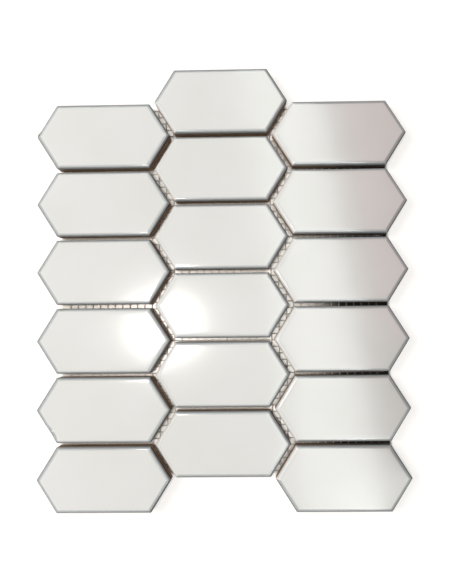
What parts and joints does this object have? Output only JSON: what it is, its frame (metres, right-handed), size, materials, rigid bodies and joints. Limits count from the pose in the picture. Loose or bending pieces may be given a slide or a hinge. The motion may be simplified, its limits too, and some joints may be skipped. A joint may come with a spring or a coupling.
{
  "type": "elongated hexagon mosaic tile sheet",
  "caption": "Mosaic sheet of glazed elongated hexagon ceramic tiles in staggered columns, bonded face up to a trimmed fibreglass net for bedding on walls or floors.",
  "frame": {"origin": "middle of the sheet's outline, on the surface it lies on", "axes": "+Z out of the glazed face, +Y along the columns of tiles, X along each tile's long axis"},
  "size_m": [0.2544, 0.303, 0.008],
  "materials": {
    "glazed_tile": "gloss glaze on a bare clay body",
    "net": "matt resin-set glass yarn"
  },
  "bodies": {
    "root": {"tile_left_1": "glazed_tile", "tile_left_2": "glazed_tile", "tile_left_3": "glazed_tile", "tile_left_4": "glazed_tile", "tile_left_5": "glazed_tile", "tile_left_6": "glazed_tile", "tile_middle_1": "glazed_tile", "tile_middle_2": "glazed_tile", "tile_middle_3": "glazed_tile", "tile_middle_4": "glazed_tile", "tile_middle_5": "glazed_tile", "tile_middle_6": "glazed_tile", "tile_right_1": "glazed_tile", "tile_right_2": "glazed_tile", "tile_right_3": "glazed_tile", "tile_right_4": "glazed_tile", "tile_right_5": "glazed_tile", "tile_right_6": "glazed_tile", "crosswise_yarns": "net", "lengthwise_yarns": "net"}
  },
  "joints": []
}
